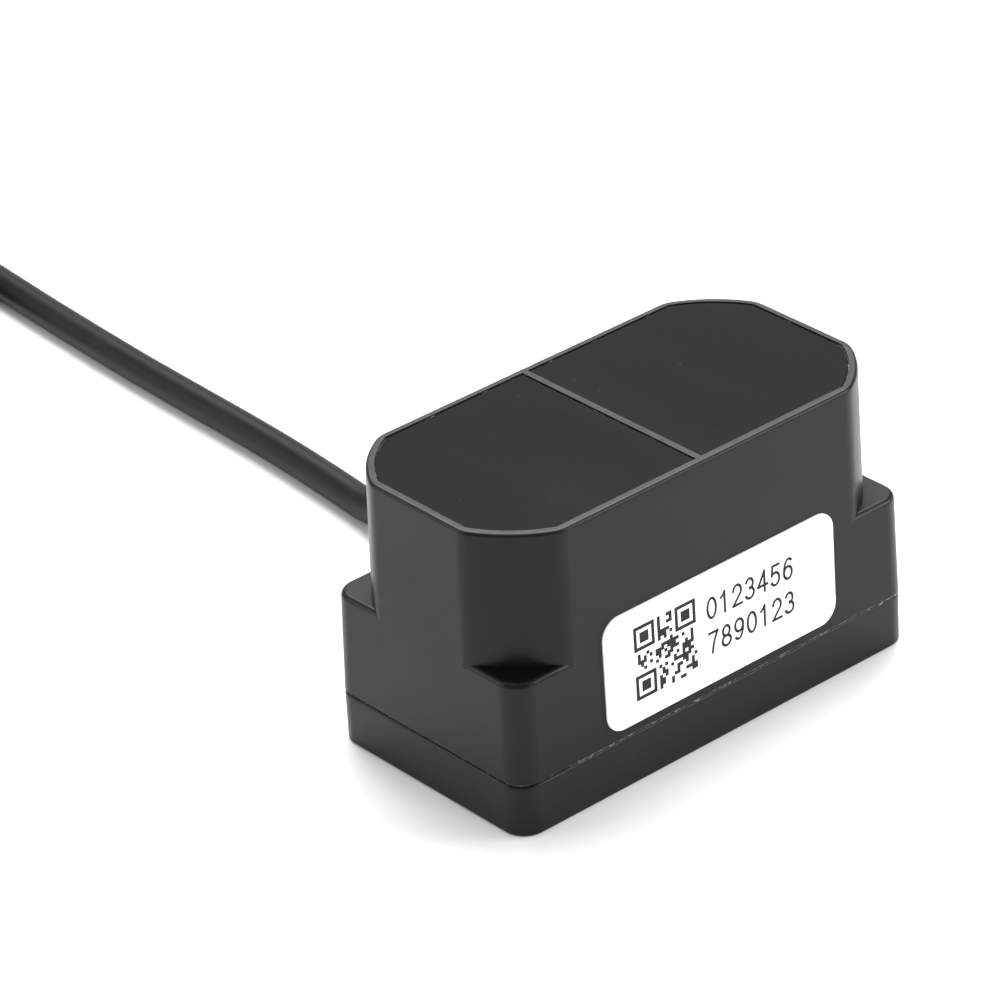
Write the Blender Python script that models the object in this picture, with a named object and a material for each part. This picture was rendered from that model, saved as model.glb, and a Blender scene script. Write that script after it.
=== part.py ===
"""Compact two-window lidar distance sensor module with its lead.

Frame: +X along the length, -Y is the labelled long side, +Y is the side that the lead leaves, +Z is the ranging
direction. The origin is the middle of the underside. Sizes below are in millimetres and are turned into metres by MM.
"""

import math

import bmesh
import bpy
from mathutils import Vector

MM = 0.001

# Housing
LENGTH = 35.0
WIDTH = 18.5
HEIGHT = 21.0
HX = LENGTH / 2
HY = WIDTH / 2
COVER_TOP = 3.80
HOUSING_FOOT = 3.95
SHELF = 11.34
BLOCK_CORNER = 1.70
COVER_CORNER = 1.70
DRAFT = 0.020
ARC_X = 8.20
ARC_R = 10.30
RIM_CHAMFER = 0.25
DIVIDER_X = -0.37
DIVIDER = 0.50
RIM = 0.57
POCKET = RIM + DRAFT * (HEIGHT - HOUSING_FOOT)
WALL = 1.4
CAVITY_X = 16.0
CAVITY_Y = 7.75
CAVITY_TOP = 10.0
WINDOW_FLOOR = 19.6
LEDGE_FOOT = 18.4
LEDGE_HALF = 0.95
BOSS_X = 14.5
BOSS_Y = 6.25
BOSS_R = 1.6

# Optics
EMITTER_X = -8.0
RECEIVER_X = 8.0

# Lead
CORD = 2.4
EXIT_Z = 6.85
LEAD_START = 13.9
FLOOR_Z = CORD / 2
COIL_R1 = 13.7
COIL_R2 = 11.2
COIL_X = -7.95
COIL_Y = 87.2
COIL_TOP = 4.75
TIE_ANGLE = 25.0
TAIL_ANGLE = 52.0


def clear_scene():
    for obj in list(bpy.data.objects):
        bpy.data.objects.remove(obj, do_unlink=True)


def material(name, colour, roughness, metallic=0.0, alpha=1.0):
    made = bpy.data.materials.new(name)
    made.use_nodes = True
    shader = made.node_tree.nodes["Principled BSDF"]
    shader.inputs["Base Color"].default_value = (*colour, 1.0)
    shader.inputs["Roughness"].default_value = roughness
    shader.inputs["Metallic"].default_value = metallic
    shader.inputs["Alpha"].default_value = alpha
    return made


def finish_object(name, mesh_bm, mat, parent, smooth=35.0):
    """Turns a bmesh in millimetres into a named object in metres."""
    bmesh.ops.remove_doubles(mesh_bm, verts=mesh_bm.verts, dist=1e-5)
    bmesh.ops.recalc_face_normals(mesh_bm, faces=mesh_bm.faces)
    bmesh.ops.scale(mesh_bm, vec=Vector((MM, MM, MM)), verts=mesh_bm.verts)
    mesh = bpy.data.meshes.new(name)
    mesh_bm.to_mesh(mesh)
    mesh_bm.free()
    for polygon in mesh.polygons:
        polygon.use_smooth = True
    mesh.set_sharp_from_angle(angle=math.radians(smooth))
    obj = bpy.data.objects.new(name, mesh)
    bpy.context.scene.collection.objects.link(obj)
    if mat is not None:
        mesh.materials.append(mat)
    if parent is not None:
        obj.parent = parent
    return obj


def loft(bm, rings, closed=False):
    """Skins a run of loops that have the same number of points. Ends are capped unless the run closes on itself."""
    made = [[bm.verts.new(Vector(p)) for p in ring] for ring in rings]
    count = len(made[0])
    pairs = list(zip(made, made[1:]))
    if closed:
        pairs.append((made[-1], made[0]))
    for low, high in pairs:
        for i in range(count):
            j = (i + 1) % count
            bm.faces.new((low[i], low[j], high[j], high[i]))
    if not closed:
        bm.faces.new(list(reversed(made[0])))
        bm.faces.new(made[-1])


def at(outline, z):
    return [(x, y, z) for x, y in outline]


def circle(r, n, x=0.0, y=0.0, turn=0.0):
    return [(x + r * math.cos(turn + 2 * math.pi * i / n), y + r * math.sin(turn + 2 * math.pi * i / n)) for i in range(n)]


def hexagon(r, n, x=0.0, y=0.0):
    """A hexagon with n points along it, n a multiple of 6, r across to its flats."""
    points = []
    for i in range(n):
        a = 2 * math.pi * i / n
        local = (a % (math.pi / 3)) - math.pi / 6
        d = r / math.cos(local)
        points.append((x + d * math.cos(a), y + d * math.sin(a)))
    return points


def rounded_rect(hx, hy, r, n=6, x=0.0, y=0.0):
    points = []
    for sx, sy, start in ((1, 1, 0), (-1, 1, 90), (-1, -1, 180), (1, -1, 270)):
        for k in range(n + 1):
            a = math.radians(start + 90 * k / n)
            points.append((x + sx * (hx - r) + r * math.cos(a), y + sy * (hy - r) + r * math.sin(a)))
    return points


def rect(x0, y0, x1, y1):
    return [(x0, y0), (x1, y0), (x1, y1), (x0, y1)]


def bitten_rect(hx, hy, bx, by, r, n=6):
    """A rectangle whose corners are taken by screw bosses."""
    corner = [(hx, by - r), (bx, by - r)]
    corner += [(bx + r * math.cos(math.radians(a)), by + r * math.sin(math.radians(a))) for a in [270 - 90 * k / n for k in range(1, n + 1)]]
    corner += [(bx - r, hy)]
    points = []
    for sx, sy in ((1, 1), (-1, 1), (-1, -1), (1, -1)):
        part = [(sx * px, sy * py) for px, py in corner]
        points += part if sx * sy > 0 else list(reversed(part))
    return points


def cut_rect(x0, y0, x1, y1, cut):
    """A rectangle with its two outer corners, on the side away from x = 0, cut off."""
    if abs(x1) > abs(x0):
        return [(x0, y0), (x1 - cut, y0), (x1, y0 + cut), (x1, y1 - cut), (x1 - cut, y1), (x0, y1)]
    return [(x0 + cut, y0), (x1, y0), (x1, y1), (x0 + cut, y1), (x0, y1 - cut), (x0, y0 + cut)]


def shrink(z):
    """How far the moulded walls have drawn in at height z, by their draft."""
    return DRAFT * (z - HOUSING_FOOT)


def tower_half(inset, x_cut, side, n=14):
    """One half of the tower's outline, from the plane x = x_cut outwards to the given side. The inset is from the foot's size."""
    hx, hy, r = HX - inset, HY - inset, ARC_R - inset
    low = math.atan2(math.sqrt(r * r - (hx - ARC_X) ** 2), hx - ARC_X)
    high = math.atan2(hy, math.sqrt(max(r * r - hy * hy, 0.0)))
    upper = [(ARC_X + r * math.cos(low + (high - low) * k / n), r * math.sin(low + (high - low) * k / n)) for k in range(n + 1)]
    points = [(x_cut * side, -hy)]
    points += [(px, -py) for px, py in reversed(upper)]
    points += upper
    points += [(x_cut * side, hy)]
    if side > 0:
        return points
    return [(-px, py) for px, py in reversed(points)]


def prism(name, outline, z0, z1, mat, parent, smooth=35.0):
    bm = bmesh.new()
    loft(bm, [at(outline, z0), at(outline, z1)])
    return finish_object(name, bm, mat, parent, smooth)


def stack(name, rings, mat, parent, closed=False, smooth=35.0):
    bm = bmesh.new()
    loft(bm, rings, closed)
    return finish_object(name, bm, mat, parent, smooth)


def helper(obj):
    obj.hide_render = True
    obj.display_type = "WIRE"
    return obj


def cut(obj, cutter):
    modifier = obj.modifiers.new("cut_" + cutter.name, "BOOLEAN")
    modifier.operation = "DIFFERENCE"
    modifier.object = cutter


def many(name, solids):
    """One hidden cutter that holds several loops' prisms, each (outline, z0, z1)."""
    bm = bmesh.new()
    for outline, z0, z1 in solids:
        loft(bm, [at(outline, z0), at(outline, z1)])
    return helper(finish_object(name, bm, None, None))


def box(name, x0, y0, z0, x1, y1, z1, mat, parent, bevel=0.0):
    """A moulded block: a box with its vertical edges and its top edge eased by bevel."""
    if bevel:
        cx, cy = (x0 + x1) / 2, (y0 + y1) / 2
        hx, hy = (x1 - x0) / 2, (y1 - y0) / 2
        outer = rounded_rect(hx, hy, bevel, 2, cx, cy)
        inner = rounded_rect(hx - bevel * 0.6, hy - bevel * 0.6, bevel * 0.4, 2, cx, cy)
        return stack(name, [at(outer, z0), at(outer, z1 - bevel * 0.6), at(inner, z1)], mat, parent)
    return prism(name, rect(x0, y0, x1, y1), z0, z1, mat, parent)


def screw(name, x, y, z, head_r, head_h, shank_r, length, mat, parent, n=18):
    """A pan head screw that points up: its head's face is at z and has a hexagon socket."""
    socket = head_r * 0.42
    rings = [
        at(hexagon(socket, n, x, y), z + head_h * 0.6),
        at(hexagon(socket, n, x, y), z),
        at(circle(head_r * 0.86, n, x, y), z),
        at(circle(head_r, n, x, y), z + head_h * 0.25),
        at(circle(head_r, n, x, y), z + head_h),
        at(circle(shank_r, n, x, y), z + head_h),
        at(circle(shank_r, n, x, y), z + length - shank_r),
        at(circle(shank_r * 0.35, n, x, y), z + length),
    ]
    return stack(name, rings, mat, parent)


def turned_y(name, profile, x, z, mat, parent, n=28, closed=False):
    """A turned piece whose axis lies along Y through (x, z). The profile is a run of (radius, y)."""
    rings = []
    for r, y in profile:
        rings.append([(x + r * math.cos(2 * math.pi * i / n), y, z + r * math.sin(2 * math.pi * i / n)) for i in range(n)])
    return stack(name, rings, mat, parent, closed)


def tube(name, points, diameter, mat, parent, resolution=2):
    """A cord as a curve with a round bevel and filled ends. Points are in millimetres."""
    data = bpy.data.curves.new(name, "CURVE")
    data.dimensions = "3D"
    data.bevel_depth = diameter / 2 * MM
    data.bevel_resolution = resolution
    data.use_fill_caps = True
    data.resolution_u = 1
    spline = data.splines.new("POLY")
    spline.points.add(len(points) - 1)
    for target, point in zip(spline.points, points):
        target.co = (point[0] * MM, point[1] * MM, point[2] * MM, 1.0)
    data.materials.append(mat)
    obj = bpy.data.objects.new(name, data)
    bpy.context.scene.collection.objects.link(obj)
    obj.parent = parent
    return obj


def bezier(p0, p1, p2, p3, n):
    """Points along one cubic from p0 to p3."""
    points = []
    for i in range(n + 1):
        t = i / n
        w = ((1 - t) ** 3, 3 * t * (1 - t) ** 2, 3 * t * t * (1 - t), t**3)
        points.append(tuple(sum(wk * p[k] for wk, p in zip(w, (p0, p1, p2, p3))) for k in range(3)))
    return points


# How far the lead drifts sideways (x) at each distance (y) from the housing.
DRIFT = ((9.0, 0.0), (15.0, 0.04), (20.0, 0.62), (25.0, 1.55), (30.0, 2.27), (35.0, 2.77), (40.0, 3.14), (45.0, 3.37), (50.0, 3.51), (55.0, 3.66), (60.0, 3.86), (65.0, 4.14), (70.0, 4.45), (76.4, 4.94), (86.0, 5.70))


def drift(y):
    """Smooth curve through DRIFT, by cubic Hermite pieces."""
    last = len(DRIFT) - 1
    i = 0
    while i < last - 1 and y > DRIFT[i + 1][0]:
        i += 1

    def slope(k):
        a, b = max(k - 1, 0), min(k + 1, last)
        return (DRIFT[b][1] - DRIFT[a][1]) / (DRIFT[b][0] - DRIFT[a][0])

    y0, x0 = DRIFT[i]
    y1, x1 = DRIFT[i + 1]
    h = y1 - y0
    t = (y - y0) / h
    m0, m1 = slope(i) * h, slope(i + 1) * h
    return (2 * t**3 - 3 * t**2 + 1) * x0 + (t**3 - 2 * t**2 + t) * m0 + (-2 * t**3 + 3 * t**2) * x1 + (t**3 - t**2) * m1


def drop(y, start=14.0, run=16.6):
    t = min(max((y - start) / run, 0.0), 1.0)
    return FLOOR_Z + (EXIT_Z - FLOOR_Z) * (1 + math.cos(math.pi * t)) / 2


def lead_points(y_end, step=3.6):
    count = max(2, round((y_end - LEAD_START) / step))
    ys = [LEAD_START + (y_end - LEAD_START) * i / count for i in range(count + 1)]
    return [(drift(y), y, drop(y)) for y in ys]


def tail_points(s0, s1, n):
    """The stretch that leaves the coil along its tangent, passes over the outer turn and comes down."""
    a = math.radians(TAIL_ANGLE)
    r = (COIL_R1 + COIL_R2) / 2
    ox, oy = COIL_X + r * math.cos(a), COIL_Y + r * math.sin(a)
    dx, dy = -math.sin(a), math.cos(a)
    points = []
    for i in range(n + 1):
        s = s0 + (s1 - s0) * i / n
        t = min(max((s - 7.0) / 12.0, 0.0), 1.0)
        z = FLOOR_Z + 2.4 * (1 + math.cos(math.pi * t)) / 2
        points.append((ox + dx * s, oy + dy * s, z))
    return points, (dx, dy), (ox, oy)


def build():
    clear_scene()
    root = bpy.data.objects.new("distance_sensor", None)
    bpy.context.scene.collection.objects.link(root)

    shell = material("moulded_black", (0.016, 0.016, 0.017), 0.42)
    glassy = material("infrared_window", (0.010, 0.010, 0.012), 0.16)
    steel = material("zinc_steel", (0.62, 0.62, 0.60), 0.32, 1.0)
    rubber = material("black_rubber", (0.018, 0.018, 0.018), 0.7)
    foam = material("black_foam", (0.02, 0.02, 0.02), 0.95)
    tape = material("white_tape", (0.72, 0.71, 0.68), 0.6)
    barrel = material("matt_black_moulding", (0.012, 0.012, 0.012), 0.8)
    lens = material("lens_plastic", (0.86, 0.88, 0.90), 0.05, 0.0, 0.4)
    coated = material("coated_filter", (0.30, 0.08, 0.16), 0.08)
    board = material("green_board", (0.015, 0.13, 0.055), 0.45)
    chip = material("chip_epoxy", (0.022, 0.022, 0.024), 0.55)
    ferrite = material("ferrite", (0.09, 0.085, 0.08), 0.65)
    ceramic = material("capacitor_ceramic", (0.45, 0.33, 0.20), 0.5)
    nickel = material("nickel_can", (0.70, 0.68, 0.63), 0.28, 1.0)
    led_white = material("led_package", (0.82, 0.80, 0.74), 0.4)
    pad = material("thermal_pad", (0.33, 0.42, 0.55), 0.8)
    paper = material("label_film", (0.82, 0.82, 0.81), 0.5)
    nylon = material("connector_nylon", (0.80, 0.78, 0.71), 0.45)
    jacket = material("cable_jacket", (0.014, 0.014, 0.014), 0.38)
    cores = {
        "red": material("core_red", (0.55, 0.02, 0.02), 0.4),
        "black": material("core_black", (0.015, 0.015, 0.015), 0.4),
        "white": material("core_white", (0.80, 0.80, 0.78), 0.4),
        "green": material("core_green", (0.02, 0.30, 0.07), 0.4),
    }

    # ------------------------------------------------------------------ front housing
    def block(z, ease=0.0):
        inset = shrink(z) + ease
        return at(rounded_rect(HX - inset, HY - inset, BLOCK_CORNER - ease), z)

    housing = stack("front_housing", [block(HOUSING_FOOT), block(HEIGHT - RIM_CHAMFER), block(HEIGHT, RIM_CHAMFER)], shell, root, smooth=30.0)

    def corner_outline(z, ease, sx, sy, n=14):
        r = ARC_R - shrink(z) - ease
        low = math.atan2(math.sqrt(ARC_R**2 - (HX - ARC_X) ** 2), HX - ARC_X) - 0.05
        high = math.atan2(HY, math.sqrt(ARC_R**2 - HY**2)) + 0.05
        arc = [(sx * (ARC_X + r * math.cos(low + (high - low) * k / n)), sy * r * math.sin(low + (high - low) * k / n)) for k in range(n + 1)]
        return at(arc + [(sx * (HX - 4.5), sy * (HY + 2.0)), (sx * (HX + 2.0), sy * (HY + 2.0)), (sx * (HX + 2.0), sy * 4.0)], z)

    bm = bmesh.new()
    for sx in (1, -1):
        for sy in (1, -1):
            loft(bm, [corner_outline(SHELF, 0.0, sx, sy), corner_outline(HEIGHT - RIM_CHAMFER, 0.0, sx, sy), corner_outline(HEIGHT + RIM_CHAMFER, RIM_CHAMFER * 2, sx, sy)])
    cut(housing, helper(finish_object("shelf_cutter", bm, None, None)))

    pockets = []
    for side in (-1, 1):
        pockets.append((tower_half(POCKET, DIVIDER_X + side * DIVIDER / 2, side), WINDOW_FLOOR, HEIGHT + 1))
    cut(housing, many("window_pocket_cutter", pockets))
    openings = []
    for side in (-1, 1):
        openings.append((tower_half(WALL, DIVIDER_X + side * LEDGE_HALF, side), LEDGE_FOOT - 0.5, WINDOW_FLOOR + 0.3))
    cut(housing, many("light_path_cutter", openings))
    inner = tower_half(WALL, 0.0, 1)[1:-1] + tower_half(WALL, 0.0, -1)[1:-1]
    cut(housing, many("tower_cavity_cutter", [(inner, CAVITY_TOP - 0.5, LEDGE_FOOT)]))
    cut(housing, many("block_cavity_cutter", [(bitten_rect(CAVITY_X, CAVITY_Y, BOSS_X, BOSS_Y, BOSS_R), HOUSING_FOOT - 1, CAVITY_TOP)]))
    cut(housing, many("joint_cutter", [(rounded_rect(CAVITY_X + 0.75, CAVITY_Y + 0.75, 0.9), HOUSING_FOOT - 1, 4.98)]))
    posts = [(sx * BOSS_X, sy * BOSS_Y) for sx in (1, -1) for sy in (1, -1)]
    cut(housing, many("post_hole_cutter", [(circle(0.9, 18, x, y), HOUSING_FOOT - 1, 9.3) for x, y in posts]))
    hole = turned_y("cable_hole_cutter", [(1.75, HY + 1.0), (1.75, CAVITY_Y - 1.0)], 0.0, EXIT_Z, None, None)
    cut(housing, helper(hole))

    # ------------------------------------------------------------------ base cover, gasket and screws
    cover_out = rounded_rect(HX, HY, COVER_CORNER)
    cover_foot = rounded_rect(HX - 0.25, HY - 0.25, COVER_CORNER - 0.25)
    tongue = rounded_rect(CAVITY_X + 0.6, CAVITY_Y + 0.6, 0.75)
    cover = stack("base_cover", [at(cover_foot, 0.0), at(cover_out, 0.25), at(cover_out, COVER_TOP), at(tongue, COVER_TOP), at(tongue, 4.42)], shell, root, smooth=30.0)
    cut(cover, many("tray_cutter", [(bitten_rect(CAVITY_X, CAVITY_Y, BOSS_X, BOSS_Y, BOSS_R), 1.4, 5.0)]))
    cut(cover, many("screw_path_cutter", [(circle(0.9, 18, x, y), 0.6, 5.0) for x, y in posts]))
    cut(cover, many("screw_head_cutter", [(circle(1.75, 24, x, y), -1.0, 1.25) for x, y in posts]))

    gasket = prism("seam_gasket", tongue, 4.48, 4.92, rubber, root)
    cut(gasket, many("gasket_window_cutter", [(bitten_rect(CAVITY_X + 0.02, CAVITY_Y + 0.02, BOSS_X, BOSS_Y, BOSS_R), 4.3, 5.4)]))
    cut(gasket, many("gasket_hole_cutter", [(circle(0.9, 18, x, y), 4.3, 5.4) for x, y in posts]))

    for index, (x, y) in enumerate(posts, 1):
        screw(f"cover_screw_{index}", x, y, 0.18, 1.5, 1.0, 0.75, 8.7, steel, root)

    # ------------------------------------------------------------------ windows and their tapes
    for label, side in (("emitter", -1), ("receiver", 1)):
        edge = DIVIDER_X + side * (DIVIDER / 2 + 0.12)
        pane = tower_half(POCKET + 0.12, edge, side)
        pane_top = tower_half(POCKET + 0.18, edge + side * 0.06, side)
        stack(f"{label}_window", [at(pane, 19.78), at(pane, 20.88), at(pane_top, 20.94)], glassy, root, smooth=30.0)
        tape_in = tower_half(WALL + 0.05, DIVIDER_X + side * LEDGE_HALF, side)
        stack(f"{label}_window_tape", [at(pane, 19.62), at(pane, 19.75), at(tape_in, 19.75), at(tape_in, 19.62)], tape, root, closed=True)

    # ------------------------------------------------------------------ optics
    block = prism("optics_block", rounded_rect(15.2, 7.3, 6.5, 8), 10.1, 16.4, barrel, root, smooth=30.0)
    cut(block, many("barrel_cutter", [(circle(4.5, 40, EMITTER_X, 0), 9.0, 17.0), (circle(5.5, 40, RECEIVER_X, 0), 9.0, 17.0)]))
    cut(block, many("lens_seat_cutter", [(circle(5.3, 40, EMITTER_X, 0), 14.8, 17.0), (circle(6.3, 40, RECEIVER_X, 0), 14.8, 17.0)]))
    small = [(sx * 2.4, sy * 5.4) for sx in (-1, 1) for sy in (-1, 1)]
    cut(block, many("block_screw_cutter", [(circle(0.65, 14, x, y), 9.0, 13.3) for x, y in small]))

    for label, x, rim, dome, top in (("emitter", EMITTER_X, 5.15, 4.5, 17.0), ("receiver", RECEIVER_X, 6.15, 5.4, 17.2)):
        rings = [at(circle(rim, 36, x, 0), 14.88), at(circle(rim, 36, x, 0), 15.72)]
        sag = top - 15.72
        sphere = (dome * dome + sag * sag) / (2 * sag)
        for k in range(7):
            r = dome * (1 - k / 7)
            rings.append(at(circle(r, 36, x, 0), top - sphere + math.sqrt(sphere * sphere - r * r)))
        stack(f"{label}_lens", rings, lens, root)
        r_out, r_in = rim + 0.05, dome + 0.15
        stack(f"{label}_lens_ring", [at(circle(r_out, 36, x, 0), 15.78), at(circle(r_out, 36, x, 0), 16.55), at(circle(r_in, 36, x, 0), 16.55), at(circle(r_in, 36, x, 0), 15.78)], barrel, root, closed=True)
        s_out, s_in = (6.45, 5.5) if label == "emitter" else (7.05, 6.4)
        stack(f"{label}_light_seal", [at(circle(s_out, 36, x, 0), 16.6), at(circle(s_out, 36, x, 0), 19.6), at(circle(s_in, 36, x, 0), 19.6), at(circle(s_in, 36, x, 0), 16.6)], foam, root, closed=True)

    for label, side in (("emitter", -1), ("receiver", 1)):
        x0, x1 = sorted((side * 1.0, side * 15.2))
        plate = prism(f"{label}_board", cut_rect(x0, -6.9, x1, 6.9, 4.2), 9.2, 10.0, board, root)
        cut(plate, many(f"{label}_board_cutter", [(circle(0.65, 14, x, y), 9.0, 10.5) for x, y in small if x * side > 0]))
    for index, (x, y) in enumerate(small, 1):
        screw(f"board_screw_{index}", x, y, 8.45, 1.0, 0.65, 0.5, 4.4, steel, root, 12)

    dome_rings = [at(rounded_rect(1.7, 1.7, 0.25, 5, EMITTER_X, 0), 10.05), at(rounded_rect(1.7, 1.7, 0.25, 5, EMITTER_X, 0), 10.75)]
    for k in range(5):
        r = 1.25 * math.cos(math.pi / 2 * k / 5)
        dome_rings.append(at(circle(r, 24, EMITTER_X, 0, math.radians(0)), 10.75 + 1.1 * math.sin(math.pi / 2 * k / 5)))
    stack("emitter_led", dome_rings, led_white, root)
    box("receiver_sensor", 6.5, -1.5, 10.05, 9.5, 1.5, 10.9, chip, root, 0.12)
    shield = box("receiver_shield", 4.5, -3.5, 10.05, 11.5, 3.5, 12.2, nickel, root, 0.3)
    cut(shield, many("shield_inside_cutter", [(rect(4.75, -3.25, 11.25, 3.25), 9.5, 11.95)]))
    cut(shield, many("shield_hole_cutter", [(circle(1.7, 24, RECEIVER_X, 0), 11.5, 12.6)]))
    box("bandpass_filter", 5.5, -2.5, 12.26, 10.5, 2.5, 12.76, coated, root, 0.1)

    # ------------------------------------------------------------------ main board
    plate = bitten_rect(15.4, 7.2, 14.5, 6.25, 2.05, 4)
    prism("main_board", plate, 2.5, 3.5, board, root)
    box("thermal_pad", -9.0, -4.5, 1.46, 9.0, 4.5, 2.44, pad, root, 0.2)
    box("processor_chip", -13.2, -3.5, 3.56, -6.2, 3.5, 4.46, chip, root, 0.15)
    box("driver_chip", 6.2, -3.6, 3.56, 9.2, -0.6, 4.36, chip, root, 0.12)
    box("power_inductor", 7.2, 0.6, 3.56, 11.4, 4.8, 5.56, ferrite, root, 0.5)
    box("capacitor_1", 4.4, -5.4, 3.56, 6.4, -4.15, 4.8, ceramic, root, 0.15)
    box("capacitor_2", 4.4, 2.0, 3.56, 6.4, 3.25, 4.8, ceramic, root, 0.15)
    box("crystal", -5.0, -5.6, 3.56, -1.8, -3.1, 4.36, nickel, root, 0.3)
    box("emitter_header", -11.6, -6.5, 3.56, -6.5, -4.6, 9.14, chip, root, 0.15)
    box("receiver_header", 8.5, -6.5, 3.56, 12.0, -4.6, 9.14, chip, root, 0.15)

    socket = box("cable_socket", -3.4, -2.4, 3.56, 3.4, 1.6, 6.6, nylon, root, 0.2)
    cut(socket, many("socket_cutter", [(rect(-2.85, -1.4, 2.85, 3.0), 4.1, 6.1)]))
    box("inner_plug", -2.65, -0.9, 4.25, 2.65, 3.6, 5.95, nylon, root, 0.15)

    order = ("red", "black", "white", "green")
    for index, colour in enumerate(order):
        x = -1.875 + 1.25 * index
        gx = -0.42 if index < 2 else 0.42
        gz = EXIT_Z + (0.42 if index in (0, 3) else -0.42)
        tube(f"inner_core_{colour}", bezier((x, 3.75, 5.1), (x, 5.4, 5.1), (gx, 5.2, gz), (gx, 6.75, gz), 8), 0.62, cores[colour], root, 1)

    # ------------------------------------------------------------------ grommet, label
    turned_y(
        "cable_grommet",
        [(2.4, 6.95), (2.4, 7.6), (1.6, 7.6), (1.6, 9.4), (2.45, 9.4), (2.6, 9.6), (2.6, 10.1), (2.1, 10.5), (1.65, 13.6)],
        0.0,
        EXIT_Z,
        rubber,
        root,
    )
    lab = []
    for proud in (0.03, 0.13):
        lab.append([(x, shrink(z) - HY - proud, z) for x, z in rounded_rect(10.26, 4.20, 1.4, 6, 0.30, 8.83)])
    stack("product_label", lab, paper, root)

    # ------------------------------------------------------------------ lead, coil, tie, tail and connector
    tube("cable_lead", lead_points(76.6), CORD, jacket, root)

    n = 72
    profile = ((9.95, 0.45), (10.5, 0.02), (14.4, 0.02), (14.95, 0.45), (14.95, 2.6), (13.6, COIL_TOP), (11.3, COIL_TOP), (9.95, 2.6))
    coil = stack("cable_coil", [at(circle(r, n, COIL_X, COIL_Y), z) for r, z in profile], jacket, root, closed=True)
    a = math.radians(TIE_ANGLE)
    ux, uy = math.cos(a), math.sin(a)
    vx, vy = -uy, ux

    def across(r, w, z):
        return (COIL_X + r * ux + w * vx, COIL_Y + r * uy + w * vy, z)

    def band(r0, r1, z0, z1, w):
        section = ((r0, z0), (r1, z0), (r1, z1), (r0, z1))
        return [[across(r, side, z) for r, z in section] for side in (-w, w)]

    bm = bmesh.new()
    low, high = band(8.0, 17.0, -2.0, 8.0, 1.4)
    low_in, high_in = band(10.45, 14.45, 0.95, 4.45, 1.4)
    loft(bm, [low, high, high_in, low_in], closed=True)
    cut(coil, helper(finish_object("tie_groove_cutter", bm, None, None)))
    bm = bmesh.new()
    low, high = band(9.45, 15.45, 0.02, 5.35, 1.0)
    low_in, high_in = band(10.2, 14.7, 0.62, 4.75, 1.0)
    loft(bm, [low, high, high_in, low_in], closed=True)
    finish_object("cable_tie", bm, nylon, root)

    points, (dx, dy), (ox, oy) = tail_points(11.6, 20.0, 4)
    tube("cable_tail", points, CORD, jacket, root)

    def ahead(s, side, z):
        return (ox + dx * s - dy * side, oy + dy * s + dx * side, z)

    sleeve = []
    for r, s in ((1.15, 20.3), (1.3, 20.6), (1.3, 24.2), (1.05, 24.6)):
        sleeve.append([ahead(s, r * math.cos(2 * math.pi * i / 20), 1.32 + r * math.sin(2 * math.pi * i / 20)) for i in range(20)])
    stack("jacket_sleeve", sleeve, rubber, root)
    for index, colour in enumerate(order):
        side = -1.875 + 1.25 * index
        near = -0.42 if index < 2 else 0.42
        high_z = 1.32 + (0.42 if index in (0, 3) else -0.42)
        tube(
            f"outer_core_{colour}",
            bezier(ahead(24.85, near, high_z), ahead(29.0, near * 1.2, high_z), ahead(30.0, side, 1.5), ahead(34.7, side, 1.5), 10),
            0.66,
            cores[colour],
            root,
            1,
        )
    plug = []
    for s in (35.0, 40.4):
        plug.append([ahead(s, px, pz) for px, pz in rounded_rect(3.15, 1.55, 0.25, 2, 0.0, 1.57)])
    connector = stack("cable_connector", plug, nylon, root)
    bm = bmesh.new()
    for index in range(4):
        side = -1.875 + 1.25 * index
        loft(bm, [[ahead(s, px, pz) for px, pz in rect(side - 0.42, 1.1, side + 0.42, 2.1)] for s in (38.6, 41.5)])
    cut(connector, helper(finish_object("contact_cutter", bm, None, None)))


build()
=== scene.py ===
"""Looks for the compact two-window lidar distance sensor. Metres, in the CAD's frame."""

import math
import random

import bmesh
import bpy
from mathutils import Matrix, Vector, noise


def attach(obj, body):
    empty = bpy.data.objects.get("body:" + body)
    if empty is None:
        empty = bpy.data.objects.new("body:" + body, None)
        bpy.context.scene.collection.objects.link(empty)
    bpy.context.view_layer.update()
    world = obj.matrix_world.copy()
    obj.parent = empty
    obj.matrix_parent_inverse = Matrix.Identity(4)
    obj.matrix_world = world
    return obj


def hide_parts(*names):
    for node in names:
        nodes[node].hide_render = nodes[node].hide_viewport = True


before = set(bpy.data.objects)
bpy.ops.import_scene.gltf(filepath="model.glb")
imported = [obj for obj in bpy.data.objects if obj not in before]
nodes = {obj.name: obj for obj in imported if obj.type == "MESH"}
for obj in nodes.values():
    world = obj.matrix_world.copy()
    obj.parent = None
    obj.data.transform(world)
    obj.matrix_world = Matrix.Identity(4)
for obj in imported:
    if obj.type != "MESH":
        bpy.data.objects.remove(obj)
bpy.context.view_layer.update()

MM = 0.001
rng = random.Random(41)

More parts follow.
